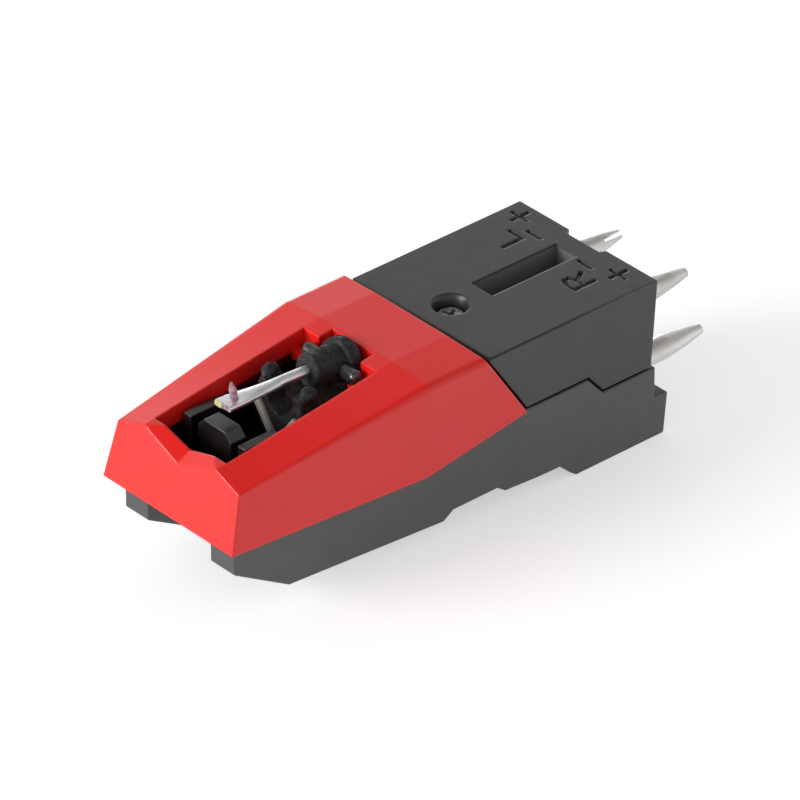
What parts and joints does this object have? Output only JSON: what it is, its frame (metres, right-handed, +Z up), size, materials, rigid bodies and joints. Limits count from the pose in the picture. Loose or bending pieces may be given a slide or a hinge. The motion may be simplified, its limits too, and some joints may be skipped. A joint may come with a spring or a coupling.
{
  "type": "turntable stylus cartridge",
  "caption": "Ceramic turntable cartridge, stylus side up: black mount base with cover and rear terminal pins, red slide-off stylus holder with a sprung cantilever.",
  "frame": {"origin": "centre of the bounding box in plan, at the underside of the rear foot", "axes": "+Y runs back along the body towards the terminal pins, +Z is up on the stylus side, X is across; the part is symmetric about X"},
  "size_m": [0.0106, 0.0316, 0.0105],
  "materials": {
    "black_body": "satin moulded black plastic",
    "black_cover": "satin moulded black plastic",
    "dark_screw": "blackened steel",
    "pin_metal": "tinned strip",
    "red_shell": "glossy moulded red plastic",
    "grey_pin": "moulded grey nylon",
    "sleeve_rubber": "satin moulded rubber",
    "lever_metal": "drawn aluminium tube, front end pressed flat",
    "gem": "polished synthetic ruby",
    "adhesive": "cured pale adhesive",
    "yoke_rubber": "moulded rubber",
    "clamp_rubber": "soft rubber",
    "piezo_ceramic": "grey ceramic with a silvered face",
    "foil": "thin foil"
  },
  "bodies": {
    "cartridge_body": {"mount_base": "black_body", "cover": "black_cover", "cover_screw": "dark_screw", "terminal_left_upper": "pin_metal", "terminal_left_lower": "pin_metal", "terminal_right_upper": "pin_metal", "terminal_right_lower": "pin_metal", "piezo_bar_left": "piezo_ceramic", "piezo_bar_right": "piezo_ceramic", "coupler": "yoke_rubber", "bar_clamp_lower": "clamp_rubber", "bar_clamp_upper": "clamp_rubber", "lead_left_upper": "foil", "lead_left_lower": "foil", "lead_right_upper": "foil", "lead_right_lower": "foil"},
    "stylus_holder_body": {"stylus_holder": "red_shell", "pivot_pin": "grey_pin"},
    "sleeve_body": {"lever_sleeve": "sleeve_rubber"},
    "stylus_lever": {"cantilever": "lever_metal", "stylus_tip": "gem", "tip_bead": "adhesive"}
  },
  "joints": [
    {"name": "stylus_release", "type": "slide", "parent": "cartridge_body", "child": "stylus_holder_body", "axis": [0, -0.8, 0.6], "range_m": [0, 0.015]},
    {"name": "cantilever_pitch", "type": "hinge", "parent": "stylus_holder_body", "child": "sleeve_body", "pos_m": [0, -0.0053, 0.0089], "axis": [1, 0, 0], "range_deg": [-3, 3], "stiffness_Nm_per_rad": 0.006},
    {"name": "cantilever_yaw", "type": "hinge", "parent": "sleeve_body", "child": "stylus_lever", "pos_m": [0, -0.00659, 0.00912], "axis": [0, 0, 1], "range_deg": [-2.5, 2.5], "stiffness_Nm_per_rad": 0.006}
  ]
}
